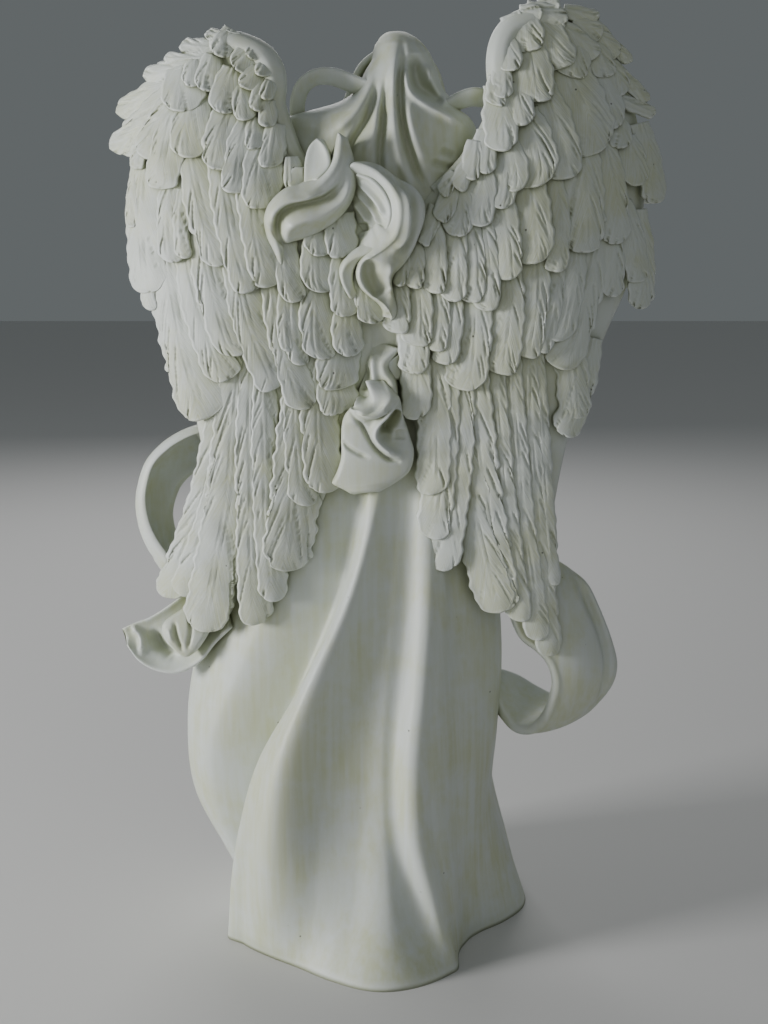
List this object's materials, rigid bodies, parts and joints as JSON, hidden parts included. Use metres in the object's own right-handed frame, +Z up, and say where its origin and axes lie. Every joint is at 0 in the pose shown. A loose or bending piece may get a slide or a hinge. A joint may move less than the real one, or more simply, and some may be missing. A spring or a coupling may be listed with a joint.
{
  "type": "standing angel statue",
  "caption": "Standing winged angel in a long gown and veil with folded feathered wings and trailing ribbons, cast in one piece on its own flat hem.",
  "frame": {"origin": "on the flat underside of the hem, below the middle of the waist", "axes": "+Z up through the figure, the face looks along -Y and the feathered backs of the wings face +Y, the angel's left side is at +X"},
  "size_m": [0.3514, 0.219, 0.6011],
  "materials": {
    "painted_casting": "satin ivory paint, greener in the recesses and dry brushed grey white on the raised carving, with small casting pits"
  },
  "bodies": {
    "root": {"angel_statue": "painted_casting"}
  },
  "joints": []
}
